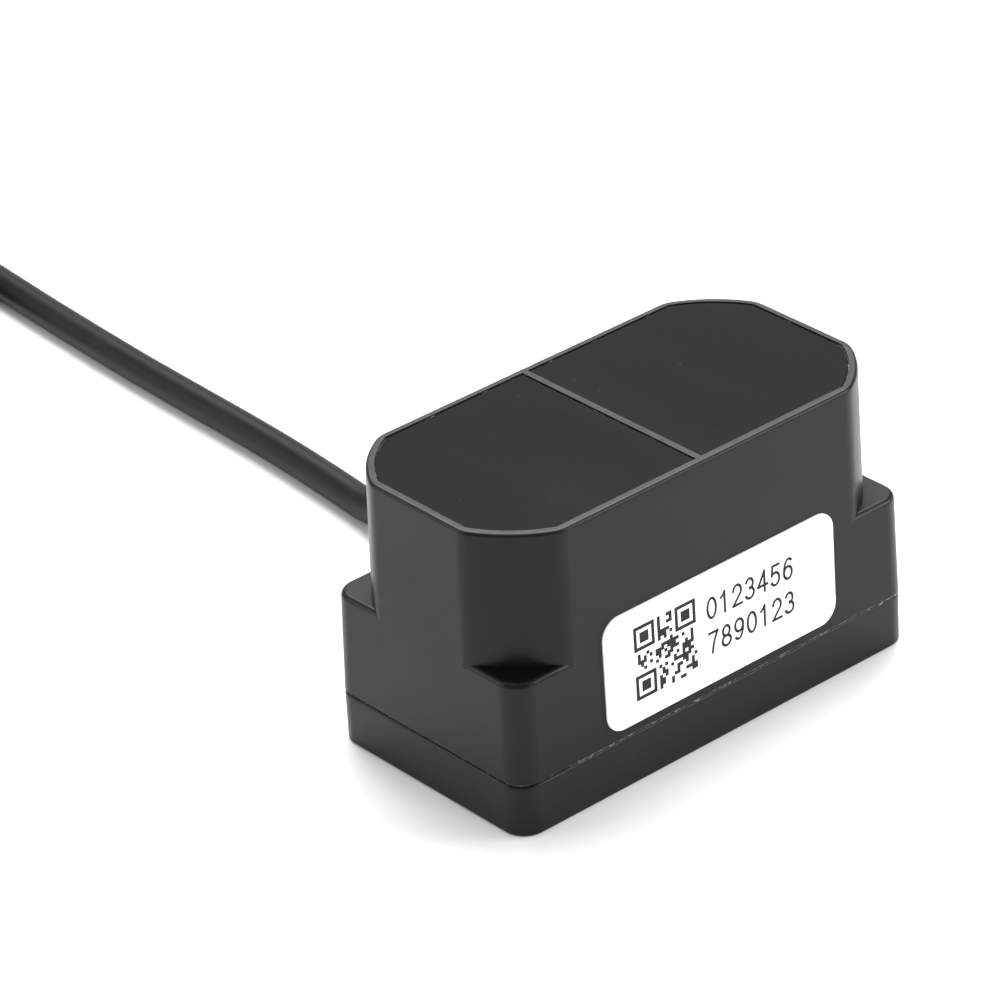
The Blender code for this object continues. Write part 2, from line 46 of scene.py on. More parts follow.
# ---------------------------------------------------------------------------------------------- camera
scene = bpy.context.scene
camera_data = bpy.data.cameras.new("photo_camera")
camera_data.sensor_fit = "HORIZONTAL"
camera_data.sensor_width = 36.0
camera_data.lens = 5143.664 * 36.0 / 1000.0
camera_data.clip_start = 0.01
camera_data.clip_end = 20.0
camera = bpy.data.objects.new("photo_camera", camera_data)
scene.collection.objects.link(camera)
cam_right = Vector((0.748669, -0.661049, -0.050096))
cam_up = Vector((0.361860, 0.344166, 0.866376))
cam_back = Vector((-0.555475, -0.666757, 0.496873))
camera.matrix_world = Matrix(
    (
        (cam_right.x, cam_up.x, cam_back.x, -0.193299),
        (cam_right.y, cam_up.y, cam_back.y, -0.219892),
        (cam_right.z, cam_up.z, cam_back.z, 0.182465),
        (0.0, 0.0, 0.0, 1.0),
    )
)
scene.camera = camera
scene.view_settings.view_transform = "Standard"
scene.view_settings.look = "None"
scene.view_settings.exposure = 0.0
scene.view_settings.gamma = 1.0

# ---------------------------------------------------------------------------------------------- sizes, as in the CAD
LENGTH, WIDTH, HEIGHT = 35.0, 18.5, 21.0
HX, HY = LENGTH / 2, WIDTH / 2
COVER_TOP, HOUSING_FOOT, SHELF = 3.80, 3.95, 11.34
BLOCK_CORNER, COVER_CORNER = 1.70, 1.70
DRAFT = 0.020
ARC_X, ARC_R = 8.20, 10.30
DIVIDER_X, DIVIDER, RIM, WALL = -0.37, 0.46, 0.57, 1.4
POCKET = RIM + DRAFT * (HEIGHT - HOUSING_FOOT)
CAVITY_X, CAVITY_Y, CAVITY_TOP = 16.0, 7.75, 10.0
WINDOW_FLOOR, LEDGE_FOOT, LEDGE_HALF = 19.6, 18.4, 0.95
BOSS_X, BOSS_Y, BOSS_R = 14.5, 6.25, 1.6
CORD, EXIT_Z = 2.4, 6.85
FLOOR_Z = CORD / 2
COIL_R1, COIL_R2, COIL_X, COIL_Y = 13.7, 11.2, -7.95, 87.2
TIE_ANGLE, TAIL_ANGLE = 25.0, 52.0


# ---------------------------------------------------------------------------------------------- materials
class Nodes:
    """A short way to build a node material. Every pattern is in object space, so its scale is real."""

    def __init__(self, name):
        self.mat = bpy.data.materials.new(name)
        self.mat.use_nodes = True
        self.tree = self.mat.node_tree
        self.shader = self.tree.nodes["Principled BSDF"]
        self.coord = self.tree.nodes.new("ShaderNodeTexCoord").outputs["Object"]

    def link(self, a, b):
        self.tree.links.new(a, b)

    def set(self, **values):
        for key, value in values.items():
            self.shader.inputs[key.replace("_", " ")].default_value = value

    def mapping(self, scale=(1, 1, 1), rotation=(0, 0, 0), location=(0, 0, 0)):
        node = self.tree.nodes.new("ShaderNodeMapping")
        node.inputs["Scale"].default_value = scale
        node.inputs["Rotation"].default_value = rotation
        node.inputs["Location"].default_value = location
        self.link(self.coord, node.inputs["Vector"])
        return node.outputs["Vector"]

    def noise(self, size_mm, detail=3.0, rough=0.55, stretch=None, distortion=0.0):
        node = self.tree.nodes.new("ShaderNodeTexNoise")
        node.inputs["Scale"].default_value = 1000.0 / size_mm
        node.inputs["Detail"].default_value = detail
        node.inputs["Roughness"].default_value = rough
        node.inputs["Distortion"].default_value = distortion
        self.link(self.mapping(stretch) if stretch else self.coord, node.inputs["Vector"])
        return node.outputs["Fac"]

    def voronoi(self, size_mm, feature="F1", stretch=None):
        node = self.tree.nodes.new("ShaderNodeTexVoronoi")
        node.feature = feature
        node.inputs["Scale"].default_value = 1000.0 / size_mm
        self.link(self.mapping(stretch) if stretch else self.coord, node.inputs["Vector"])
        return node.outputs["Distance"]

    def wave(self, size_mm, direction="Z", distortion=0.0, kind="BANDS"):
        node = self.tree.nodes.new("ShaderNodeTexWave")
        node.wave_type = kind
        if kind == "BANDS":
            node.bands_direction = direction
        node.inputs["Scale"].default_value = 1000.0 / size_mm / 20.0 * math.pi
        node.inputs["Distortion"].default_value = distortion
        self.link(self.coord, node.inputs["Vector"])
        return node.outputs["Fac"]

    def ramp(self, value, stops):
        node = self.tree.nodes.new("ShaderNodeValToRGB")
        band = node.color_ramp
        while len(band.elements) < len(stops):
            band.elements.new(0.5)
        for element, (position, colour) in zip(band.elements, stops):
            element.position = position
            element.color = (*colour, 1.0) if len(colour) == 3 else colour
        self.link(value, node.inputs["Fac"])
        return node.outputs["Color"]

    def range(self, value, low, high, new_low, new_high):
        node = self.tree.nodes.new("ShaderNodeMapRange")
        for key, number in zip(("From Min", "From Max", "To Min", "To Max"), (low, high, new_low, new_high)):
            node.inputs[key].default_value = number
        self.link(value, node.inputs["Value"])
        return node.outputs["Result"]

    def math(self, kind, a, b):
        node = self.tree.nodes.new("ShaderNodeMath")
        node.operation = kind
        for slot, value in zip(node.inputs, (a, b)):
            if isinstance(value, (int, float)):
                slot.default_value = value
            else:
                self.link(value, slot)
        return node.outputs["Value"]

    def mix(self, factor, a, b):
        node = self.tree.nodes.new("ShaderNodeMix")
        node.data_type = "RGBA"
        for slot, value in ((node.inputs["Factor"], factor), (node.inputs["A"], a), (node.inputs["B"], b)):
            if isinstance(value, (int, float)):
                slot.default_value = value
            elif isinstance(value, tuple):
                slot.default_value = (*value, 1.0)
            else:
                self.link(value, slot)
        return node.outputs["Result"]

    def bump(self, height, strength, distance_mm):
        node = self.tree.nodes.new("ShaderNodeBump")
        node.inputs["Strength"].default_value = strength
        node.inputs["Distance"].default_value = distance_mm * MM
        self.link(height, node.inputs["Height"])
        if self.shader.inputs["Normal"].is_linked:
            self.link(self.shader.inputs["Normal"].links[0].from_socket, node.inputs["Normal"])
        self.link(node.outputs["Normal"], self.shader.inputs["Normal"])

    def edge_wear(self, radius_mm, low, high):
        """0 on a face and 1 along its sharp outer edges, from the angle between the bevelled and the true normal."""
        bevel = self.tree.nodes.new("ShaderNodeBevel")
        bevel.samples = 4
        bevel.inputs["Radius"].default_value = radius_mm * MM
        geometry = self.tree.nodes.new("ShaderNodeNewGeometry")
        dot = self.tree.nodes.new("ShaderNodeVectorMath")
        dot.operation = "DOT_PRODUCT"
        self.link(bevel.outputs["Normal"], dot.inputs[0])
        self.link(geometry.outputs["Normal"], dot.inputs[1])
        return self.range(dot.outputs["Value"], low, high, 1.0, 0.0)

    def colour(self, socket):
        self.link(socket, self.shader.inputs["Base Color"])

    def rough(self, socket):
        self.link(socket, self.shader.inputs["Roughness"])


def moulded_black(name, dark=0.0030, light=0.0050, rough_low=0.33, rough_high=0.41, grain=0.16, grain_depth=0.004, painted_rim_highlight=0.0):
    m = Nodes(name)
    cloud = m.noise(5.0, 4.0, 0.6)
    fine = m.noise(0.35, 2.0, 0.5)
    plain = m.mix(m.range(cloud, 0.3, 0.7, 0.0, 1.0), (dark, dark, dark * 1.02), (light, light, light * 1.03))
    if painted_rim_highlight:
        # painted highlight: the narrow rim and bar round the windows face up at the top's height, and their colour is
        # made paler to stand for the light they catch from above
        place = m.tree.nodes.new("ShaderNodeSeparateXYZ")
        m.link(m.coord, place.inputs["Vector"])
        geometry = m.tree.nodes.new("ShaderNodeNewGeometry")
        facing = m.tree.nodes.new("ShaderNodeSeparateXYZ")
        m.link(geometry.outputs["Normal"], facing.inputs["Vector"])
        on_top = m.math("MULTIPLY", m.range(place.outputs["Z"], 0.02088, 0.02097, 0.0, 1.0), m.range(facing.outputs["Z"], 0.88, 0.98, 0.0, 1.0))
        uneven = m.range(m.noise(0.9, 4.0, 0.65), 0.35, 0.65, 0.55, 1.0)
        plain = m.mix(m.math("MULTIPLY", on_top, uneven), plain, (painted_rim_highlight, painted_rim_highlight, painted_rim_highlight))
    m.colour(plain)
    m.rough(m.math("ADD", m.range(cloud, 0.3, 0.7, rough_low, rough_high), m.range(fine, 0.3, 0.7, -0.02, 0.02)))
    m.bump(m.noise(grain, 2.0, 0.6), 0.35, grain_depth)
    m.bump(m.noise(2.2, 2.0, 0.5), 0.20, 0.008)
    m.set(IOR=1.32)
    return m.mat


def window_material():
    m = Nodes("infrared_window")
    smear = m.noise(6.0, 3.0, 0.5, (1.0, 0.35, 1.0))
    speck = m.voronoi(1.6)
    dust = m.range(speck, 0.02, 0.035, 1.0, 0.0)
    m.colour(m.mix(m.math("MULTIPLY", dust, 0.12), (0.0030, 0.0030, 0.0034), (0.14, 0.14, 0.14)))
    m.rough(m.math("ADD", m.range(smear, 0.3, 0.7, 0.10, 0.15), m.math("MULTIPLY", dust, 0.3)))
    m.bump(m.noise(3.0, 2.0, 0.5), 0.2, 0.004)
    m.set(IOR=1.31)
    return m.mat


def label_material():
    m = Nodes("label_film")
    fibre = m.noise(0.10, 3.0, 0.6)
    cloud = m.noise(6.0, 2.0, 0.5)
    m.colour(m.mix(m.range(cloud, 0.3, 0.7, 0.0, 1.0), (0.925, 0.925, 0.92), (0.945, 0.945, 0.94)))
    m.rough(m.range(fibre, 0.3, 0.7, 0.42, 0.55))
    m.bump(fibre, 0.15, 0.003)
    m.set(IOR=1.47)
    return m.mat


def ink_material():
    m = Nodes("label_ink")
    ribbon = m.noise(0.09, 3.0, 0.7)
    m.colour(m.mix(m.range(ribbon, 0.35, 0.75, 0.0, 1.0), (0.004, 0.004, 0.0045), (0.015, 0.015, 0.016)))
    m.rough(m.range(ribbon, 0.3, 0.7, 0.45, 0.65))
    m.bump(ribbon, 0.2, 0.002)
    m.set(IOR=1.35)
    return m.mat


def cord_material():
    m = Nodes("cable_jacket")
    fine = m.noise(0.22, 3.0, 0.55)
    long = m.noise(2.5, 3.0, 0.5)
    m.colour(m.mix(m.range(long, 0.3, 0.7, 0.0, 1.0), (0.0072, 0.0072, 0.0075), (0.0115, 0.0115, 0.0118)))
    m.rough(m.math("ADD", m.range(long, 0.3, 0.7, 0.40, 0.50), m.range(fine, 0.3, 0.7, -0.03, 0.03)))
    m.bump(fine, 0.30, 0.006)
    m.bump(long, 0.35, 0.020)
    m.set(IOR=1.27)
    return m.mat


def rubber_material(name, tone=0.018):
    m = Nodes(name)
    fine = m.noise(0.18, 3.0, 0.6)
    dust = m.noise(1.2, 4.0, 0.7)
    m.colour(m.mix(m.range(dust, 0.45, 0.8, 0.0, 0.5), (tone, tone, tone), (tone * 2.4, tone * 2.4, tone * 2.3)))
    m.rough(m.range(fine, 0.3, 0.7, 0.60, 0.74))
    m.bump(fine, 0.4, 0.012)
    return m.mat


def foam_material():
    m = Nodes("black_foam")
    cell = m.voronoi(0.30)
    m.colour(m.mix(m.range(cell, 0.0, 0.6, 0.0, 1.0), (0.006, 0.006, 0.006), (0.032, 0.032, 0.033)))
    m.rough(m.range(cell, 0.0, 0.6, 0.85, 0.98))
    m.bump(cell, 0.8, 0.08)
    return m.mat


def metal_material(name, colour, rough_low, rough_high, grain=0.12):
    m = Nodes(name)
    streak = m.noise(grain, 3.0, 0.6, (1.0, 1.0, 0.25))
    stain = m.noise(1.5, 4.0, 0.6)
    low = tuple(c * 0.86 for c in colour)
    m.colour(m.mix(m.range(stain, 0.35, 0.7, 0.0, 1.0), low, colour))
    m.rough(m.range(streak, 0.3, 0.7, rough_low, rough_high))
    m.bump(streak, 0.25, 0.004)
    m.set(Metallic=1.0)
    return m.mat


def plastic_material(name, colour, rough_low=0.35, rough_high=0.48, size=0.25, depth=0.006, vary=0.12, subsurface=0.0):
    m = Nodes(name)
    fine = m.noise(size, 3.0, 0.55)
    cloud = m.noise(size * 12, 3.0, 0.55)
    low = tuple(c * (1 - vary) for c in colour)
    high = tuple(min(1.0, c * (1 + vary * 0.6)) for c in colour)
    m.colour(m.mix(m.range(cloud, 0.3, 0.7, 0.0, 1.0), low, high))
    m.rough(m.range(fine, 0.3, 0.7, rough_low, rough_high))
    m.bump(fine, 0.3, depth)
    if subsurface:
        m.set(Subsurface_Weight=subsurface, Subsurface_Scale=0.0006)
    return m.mat


def board_material():
    m = Nodes("green_board")
    weave = m.math("ADD", m.wave(0.55, "X"), m.wave(0.55, "Y"))
    trace = m.voronoi(1.7, "DISTANCE_TO_EDGE")
    copper = m.range(trace, 0.035, 0.055, 1.0, 0.0)
    base = m.mix(m.range(weave, 0.4, 1.6, 0.0, 1.0), (0.010, 0.095, 0.040), (0.014, 0.120, 0.050))
    m.colour(m.mix(m.math("MULTIPLY", copper, 0.55), base, (0.035, 0.230, 0.085)))
    m.rough(m.range(weave, 0.4, 1.6, 0.26, 0.36))
    m.bump(copper, 0.35, 0.02)
    m.bump(weave, 0.15, 0.01)
    return m.mat


def chip_material():
    m = Nodes("chip_epoxy")
    fine = m.noise(0.08, 3.0, 0.7)
    m.colour(m.mix(m.range(fine, 0.3, 0.7, 0.0, 1.0), (0.016, 0.016, 0.017), (0.034, 0.034, 0.035)))
    m.rough(m.range(fine, 0.3, 0.7, 0.48, 0.66))
    m.bump(fine, 0.5, 0.012)
    return m.mat


def lens_material():
    m = Nodes("lens_plastic")
    haze = m.noise(2.5, 3.0, 0.5)
    m.colour(m.mix(m.range(haze, 0.3, 0.7, 0.0, 1.0), (0.86, 0.90, 0.93), (0.93, 0.95, 0.97)))
    m.rough(m.range(haze, 0.3, 0.7, 0.02, 0.05))
    m.bump(haze, 0.05, 0.002)
    m.set(IOR=1.49, Transmission_Weight=0.9, Specular_IOR_Level=0.55)
    return m.mat


def filter_material():
    m = Nodes("coated_filter")
    sheen = m.noise(3.0, 2.0, 0.5)
    m.colour(m.ramp(sheen, ((0.35, (0.22, 0.03, 0.12)), (0.5, (0.32, 0.09, 0.16)), (0.65, (0.12, 0.10, 0.26)))))
    m.rough(m.range(sheen, 0.3, 0.7, 0.04, 0.10))
    m.bump(sheen, 0.05, 0.002)
    m.set(Coat_Weight=1.0, Coat_Roughness=0.03)
    return m.mat


def glue_material():
    m = Nodes("clear_glue")
    blot = m.noise(0.5, 3.0, 0.6)
    m.colour(m.mix(m.range(blot, 0.35, 0.65, 0.0, 1.0), (0.030, 0.030, 0.030), (0.20, 0.20, 0.195)))
    m.rough(m.range(blot, 0.3, 0.7, 0.18, 0.40))
    m.bump(blot, 0.4, 0.02)
    m.set(IOR=1.5)
    return m.mat


def seam_glue_material():
    m = Nodes("dark_glue")
    blot = m.noise(0.33, 4.0, 0.75)
    m.colour(m.ramp(blot, ((0.40, (0.010, 0.010, 0.010)), (0.52, (0.045, 0.045, 0.045)), (0.60, (0.26, 0.26, 0.255)), (0.68, (0.02, 0.02, 0.02)))))
    m.rough(m.range(blot, 0.3, 0.7, 0.25, 0.55))
    m.bump(blot, 0.6, 0.03)
    m.set(IOR=1.5)
    return m.mat


def floor_material():
    m = Nodes("floor_paper")
    fine = m.noise(1.5, 4.0, 0.6)
    m.colour(m.mix(m.range(fine, 0.3, 0.7, 0.0, 1.0), (0.885, 0.885, 0.885), (0.90, 0.90, 0.90)))
    m.rough(m.range(fine, 0.3, 0.7, 0.75, 0.85))
    m.bump(fine, 0.05, 0.02)
    m.set(Specular_IOR_Level=0.2)
    return m.mat


SHELL = moulded_black("housing_plastic", painted_rim_highlight=0.038)
COVER = moulded_black("cover_plastic", 0.0048, 0.0070, 0.34, 0.42)
WINDOW = window_material()
LABEL = label_material()
INK = ink_material()
JACKET = cord_material()
RUBBER = rubber_material("black_rubber", 0.014)
FOAM = foam_material()
STEEL = metal_material("steel", (0.60, 0.60, 0.58), 0.22, 0.40)
NICKEL = metal_material("nickel", (0.68, 0.66, 0.61), 0.18, 0.34, 0.2)
TAPE = plastic_material("white_tape", (0.70, 0.69, 0.66), 0.5, 0.7, 0.2, 0.01)
BARREL = plastic_material("barrel_plastic", (0.012, 0.012, 0.012), 0.62, 0.82, 0.12, 0.01)
LENS = lens_material()
FILTER = filter_material()
BOARD = board_material()
CHIP = chip_material()
FERRITE = plastic_material("ferrite", (0.085, 0.080, 0.076), 0.5, 0.75, 0.15, 0.02, 0.25)
CERAMIC = plastic_material("capacitor_ceramic", (0.43, 0.31, 0.18), 0.35, 0.6, 0.12, 0.01, 0.2)
LED = plastic_material("led_package", (0.80, 0.77, 0.68), 0.15, 0.35, 0.2, 0.004, 0.08)
PAD = plastic_material("thermal_pad", (0.31, 0.40, 0.52), 0.7, 0.9, 0.3, 0.02, 0.15)
NYLON = plastic_material("nylon", (0.47, 0.45, 0.395), 0.36, 0.50, 0.3, 0.008, 0.06, 0.15)
GLUE = glue_material()
SEAM_GLUE = seam_glue_material()
CORES = {
    "red": plastic_material("core_red", (0.36, 0.012, 0.011), 0.28, 0.40, 0.3, 0.005),
    "black": plastic_material("core_black", (0.014, 0.014, 0.014), 0.28, 0.40, 0.3, 0.005),
    "white": plastic_material("core_white", (0.50, 0.50, 0.49), 0.28, 0.40, 0.3, 0.005, 0.05),
    "green": plastic_material("core_green", (0.012, 0.18, 0.042), 0.28, 0.40, 0.3, 0.005),
}
CONTACT = metal_material("tin_contact", (0.74, 0.73, 0.70), 0.2, 0.35, 0.1)


# ---------------------------------------------------------------------------------------------- mesh helpers (millimetres)
def piece(name, bm, mat, smooth=30.0, merge=1e-5):
    if merge:
        bmesh.ops.remove_doubles(bm, verts=bm.verts, dist=merge)
    bmesh.ops.recalc_face_normals(bm, faces=bm.faces)
    bmesh.ops.scale(bm, vec=Vector((MM, MM, MM)), verts=bm.verts)
    mesh = bpy.data.meshes.new(name)
    bm.to_mesh(mesh)
    bm.free()
    for polygon in mesh.polygons:
        polygon.use_smooth = True
    mesh.set_sharp_from_angle(angle=math.radians(smooth))
    obj = bpy.data.objects.new(name, mesh)
    scene.collection.objects.link(obj)
    if mat:
        mesh.materials.append(mat)
    return obj


def loft(bm, rings, closed=False, caps=True):
    made = [[bm.verts.new(Vector(p)) for p in ring] for ring in rings]
    count = len(made[0])
    pairs = list(zip(made, made[1:]))
    if closed:
        pairs.append((made[-1], made[0]))
    for low, high in pairs:
        for i in range(count):
            j = (i + 1) % count
            bm.faces.new((low[i], low[j], high[j], high[i]))
    if not closed and caps:
        bm.faces.new(list(reversed(made[0])))
        bm.faces.new(made[-1])
    return made


def at(outline, z):
    return [(x, y, z) for x, y in outline]


def circle(r, n, x=0.0, y=0.0, turn=0.0):
    return [(x + r * math.cos(turn + 2 * math.pi * i / n), y + r * math.sin(turn + 2 * math.pi * i / n)) for i in range(n)]


def rounded_rect(hx, hy, r, n=6, x=0.0, y=0.0):
    points = []
    for sx, sy, start in ((1, 1, 0), (-1, 1, 90), (-1, -1, 180), (1, -1, 270)):
        for k in range(n + 1):
            a = math.radians(start + 90 * k / n)
            points.append((x + sx * (hx - r) + r * math.cos(a), y + sy * (hy - r) + r * math.sin(a)))
    return points


def rect(x0, y0, x1, y1):
    return [(x0, y0), (x1, y0), (x1, y1), (x0, y1)]


def bitten_rect(hx, hy, bx, by, r, n=10):
    corner = [(hx, by - r), (bx, by - r)]
    corner += [(bx + r * math.cos(math.radians(a)), by + r * math.sin(math.radians(a))) for a in [270 - 90 * k / n for k in range(1, n + 1)]]
    corner += [(bx - r, hy)]
    points = []
    for sx, sy in ((1, 1), (-1, 1), (-1, -1), (1, -1)):
        part = [(sx * px, sy * py) for px, py in corner]
        points += part if sx * sy > 0 else list(reversed(part))
    return points


def shrink(z):
    """How far the moulded walls have drawn in at height z, by their draft."""
    return DRAFT * (z - HOUSING_FOOT)


def tower_half(inset, x_cut, side, n=36):
    hx, hy, r = HX - inset, HY - inset, ARC_R - inset
    low = math.atan2(math.sqrt(r * r - (hx - ARC_X) ** 2), hx - ARC_X)
    high = math.atan2(hy, math.sqrt(max(r * r - hy * hy, 0.0)))
    upper = [(ARC_X + r * math.cos(low + (high - low) * k / n), r * math.sin(low + (high - low) * k / n)) for k in range(n + 1)]
    points = [(x_cut * side, -hy)] + [(px, -py) for px, py in reversed(upper)] + upper + [(x_cut * side, hy)]
    return points if side > 0 else [(-px, py) for px, py in reversed(points)]


def cut(obj, cutter):
    modifier = obj.modifiers.new("cut_" + cutter.name, "BOOLEAN")
    modifier.operation = "DIFFERENCE"
    modifier.solver = "EXACT"
    modifier.object = cutter


def cutter(name, solids):
    bm = bmesh.new()
    for outline, z0, z1 in solids:
        loft(bm, [at(outline, z0), at(outline, z1)])
    return piece(name, bm, None)


def settle(obj, cutters=(), bevels=(), smooth=30.0):
    """Applies the cuts, then the bevels, and drops the cutters."""
    for tool in cutters:
        cut(obj, tool)
    for width_mm, segments, angle in bevels:
        modifier = obj.modifiers.new("edge", "BEVEL")
        modifier.width = width_mm * MM
        modifier.segments = segments
        modifier.limit_method = "ANGLE"
        modifier.angle_limit = math.radians(angle)
        modifier.use_clamp_overlap = True
        modifier.miter_outer = "MITER_ARC"
    bpy.context.view_layer.update()
    graph = bpy.context.evaluated_depsgraph_get()
    mesh = bpy.data.meshes.new_from_object(obj.evaluated_get(graph))
    obj.modifiers.clear()
    old = obj.data
    obj.data = mesh
    bpy.data.meshes.remove(old)
    for polygon in mesh.polygons:
        polygon.use_smooth = True
    mesh.set_sharp_from_angle(angle=math.radians(smooth))
    for tool in cutters:
        bpy.data.objects.remove(tool, do_unlink=True)
    even_normals(obj)
    return obj


def even_normals(obj):
    """Keeps the big faces' shading flat where they meet small rounded ones."""
    modifier = obj.modifiers.new("normals", "WEIGHTED_NORMAL")
    modifier.mode = "FACE_AREA"
    modifier.weight = 100
    modifier.keep_sharp = True


def curve_piece(name, points, diameter, mat, resolution=6, tilt=0.0):
    data = bpy.data.curves.new(name, "CURVE")
    data.dimensions = "3D"
    data.bevel_depth = diameter / 2 * MM
    data.bevel_resolution = resolution
    data.use_fill_caps = True
    data.resolution_u = 1
    spline = data.splines.new("POLY")
    spline.points.add(len(points) - 1)
    for target, point in zip(spline.points, points):
        target.co = (point[0] * MM, point[1] * MM, point[2] * MM, 1.0)
    spline.use_smooth = True
    data.materials.append(mat)
    obj = bpy.data.objects.new(name, data)
    scene.collection.objects.link(obj)
    return obj


# ---------------------------------------------------------------------------------------------- the lead's route
DRIFT = ((9.0, 0.0), (15.0, 0.04), (20.0, 0.62), (25.0, 1.55), (30.0, 2.27), (35.0, 2.77), (40.0, 3.14), (45.0, 3.37), (50.0, 3.51), (55.0, 3.66), (60.0, 3.86), (65.0, 4.14), (70.0, 4.45), (76.4, 4.94), (86.0, 5.70))


def drift(y):
    last = len(DRIFT) - 1
    i = 0
    while i < last - 1 and y > DRIFT[i + 1][0]:
        i += 1

    def slope(k):
        a, b = max(k - 1, 0), min(k + 1, last)
        return (DRIFT[b][1] - DRIFT[a][1]) / (DRIFT[b][0] - DRIFT[a][0])

    y0, x0 = DRIFT[i]
    y1, x1 = DRIFT[i + 1]
    h = y1 - y0
    t = (y - y0) / h
    m0, m1 = slope(i) * h, slope(i + 1) * h
    return (2 * t**3 - 3 * t**2 + 1) * x0 + (t**3 - 2 * t**2 + t) * m0 + (-2 * t**3 + 3 * t**2) * x1 + (t**3 - t**2) * m1


def drop(y, start=14.0, run=16.6):
    t = min(max((y - start) / run, 0.0), 1.0)
    return FLOOR_Z + (EXIT_Z - FLOOR_Z) * (1 + math.cos(math.pi * t)) / 2


def ease(t):
    t = min(max(t, 0.0), 1.0)
    return (1 - math.cos(math.pi * t)) / 2


def coil_point(theta, start):
    """A point of the coil after theta degrees: outer turn, inner turn, then a part turn in the groove on top."""
    if theta < 300:
        r, z = COIL_R1, FLOOR_Z
    elif theta < 640:
        r, z = COIL_R1 + (COIL_R2 - COIL_R1) * ease((theta - 300) / 55), FLOOR_Z
    else:
        r = COIL_R2 + ((COIL_R1 + COIL_R2) / 2 - COIL_R2) * ease((theta - 690) / 50)
        z = FLOOR_Z + 2.45 * ease((theta - 640) / 55) - 0.33 * ease((theta - 712) / 40)
    tie = (start + theta - TIE_ANGLE + 180) % 360 - 180
    z += 0.50 * math.exp(-((tie / 22.0) ** 2))
    phi = math.radians(start + theta)
    return (COIL_X + r * math.cos(phi), COIL_Y + r * math.sin(phi), z)


def full_route():
    points = []
    count = 44
    y0 = 11.4
    for i in range(count + 1):
        y = y0 + (85.2 - y0) * i / count
        points.append((drift(y), y, drop(y)))
    start = -4.9
    end = 720 + TAIL_ANGLE - start
    steps = int(end / 5)
    for i in range(steps + 1):
        points.append(coil_point(2.5 + (end - 2.5) * i / steps, start))
    a = math.radians(TAIL_ANGLE)
    r = (COIL_R1 + COIL_R2) / 2
    ox, oy = COIL_X + r * math.cos(a), COIL_Y + r * math.sin(a)
    dx, dy = -math.sin(a), math.cos(a)
    for i in range(1, 18):
        s = 20.5 * i / 17
        low = 3.32 + 0.28 * ease(s / 4.5)
        z = FLOOR_Z + (low - FLOOR_Z) * (1 - ease((s - 7.0) / 12.0))
        points.append((ox + dx * s, oy + dy * s, z))
    return points, (ox, oy), (dx, dy)


route, (OX, OY), (DX, DY) = full_route()
cord = curve_piece("cord_jacket", route, CORD, JACKET, 7)
LEAD_LENGTH = sum(math.dist(a, b) for a, b in zip(route, route[1:]))
print("jacket length mm", round(LEAD_LENGTH, 1))


def ahead(s, side, z):
    return (OX + DX * s - DY * side, OY + DY * s + DX * side, z)


def bezier(p0, p1, p2, p3, n):
    points = []
    for i in range(n + 1):
        t = i / n
        w = ((1 - t) ** 3, 3 * t * (1 - t) ** 2, 3 * t * t * (1 - t), t**3)
        points.append(tuple(sum(wk * p[k] for wk, p in zip(w, (p0, p1, p2, p3))) for k in range(3)))
    return points


cord_pieces = []
order = ("red", "black", "white", "green")
for index, colour in enumerate(order):
    side = -1.875 + 1.25 * index
    near = -0.42 if index < 2 else 0.42
    high_z = 1.32 + (0.42 if index in (0, 3) else -0.42)
    points = bezier(ahead(24.4, near, high_z), ahead(28.6, near * 1.3, high_z), ahead(30.4, side, 1.5), ahead(35.2, side, 1.5), 24)
    made = curve_piece(f"core_{colour}", points, 0.66, CORES[colour], 5)
    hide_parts(f"outer_core_{colour}")
    cord_pieces.append(made)

# heat-shrunk sleeve over the jacket's end, with a shallow waist and a rolled lip
bm = bmesh.new()
rings = []
for k in range(26):
    s = 20.2 + 4.5 * k / 25
    t = k / 25
    r = 1.30 + 0.05 * math.sin(9 * t) - 0.20 * ease((t - 0.55) / 0.45)
    if k == 0:
        r = 1.22
    ring = []
    for i in range(40):
        a = 2 * math.pi * i / 40
        flat = 1.0 + 0.03 * math.cos(2 * a) * t
        ring.append(ahead(s, r * flat * math.cos(a), 1.34 + r / flat * math.sin(a)))
    rings.append(ring)
loft(bm, rings)
sleeve = piece("shrunk_sleeve", bm, RUBBER, 40)
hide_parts("jacket_sleeve")
cord_pieces.append(sleeve)

# four-way connector: body, contact mouths and wire mouths
bm = bmesh.new()
body_rings = []
for s, inset in ((35.0, 0.12), (35.12, 0.0), (40.25, 0.0), (40.4, 0.12)):
    body_rings.append([ahead(s, px, pz) for px, pz in rounded_rect(3.15 - inset, 1.52 - inset, 0.25, 4, 0.0, 1.57)])
loft(bm, body_rings)
connector = piece("four_way_connector", bm, NYLON, 30)
bm = bmesh.new()
for index in range(4):
    side = -1.875 + 1.25 * index
    loft(bm, [[ahead(s, px, pz) for px, pz in rect(side - 0.42, 1.05, side + 0.42, 2.05)] for s in (37.6, 41.5)])
    loft(bm, [[ahead(s, px, pz) for px, pz in rect(side - 0.36, 2.45, side + 0.36, 3.6)] for s in (37.0, 38.3)])
    loft(bm, [[ahead(s, px, pz) for px, pz in circle(0.42, 20, side, 1.5)] for s in (34.0, 35.9)])
mouths = piece("mouth_cutter", bm, None)
settle(connector, [mouths], [(0.05, 2, 40)], 30)
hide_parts("cable_connector")
cord_pieces.append(connector)
bm = bmesh.new()
for index in range(4):
    side = -1.875 + 1.25 * index
    loft(bm, [[ahead(s, px, pz) for px, pz in rect(side - 0.30, 1.12, side + 0.30, 1.22)] for s in (37.7, 40.1)])
    loft(bm, [[ahead(s, px, pz) for px, pz in rect(side - 0.30, 1.86, side + 0.30, 1.96)] for s in (37.7, 40.1)])
contacts = piece("crimp_contacts", bm, CONTACT, 30)
cord_pieces.append(contacts)
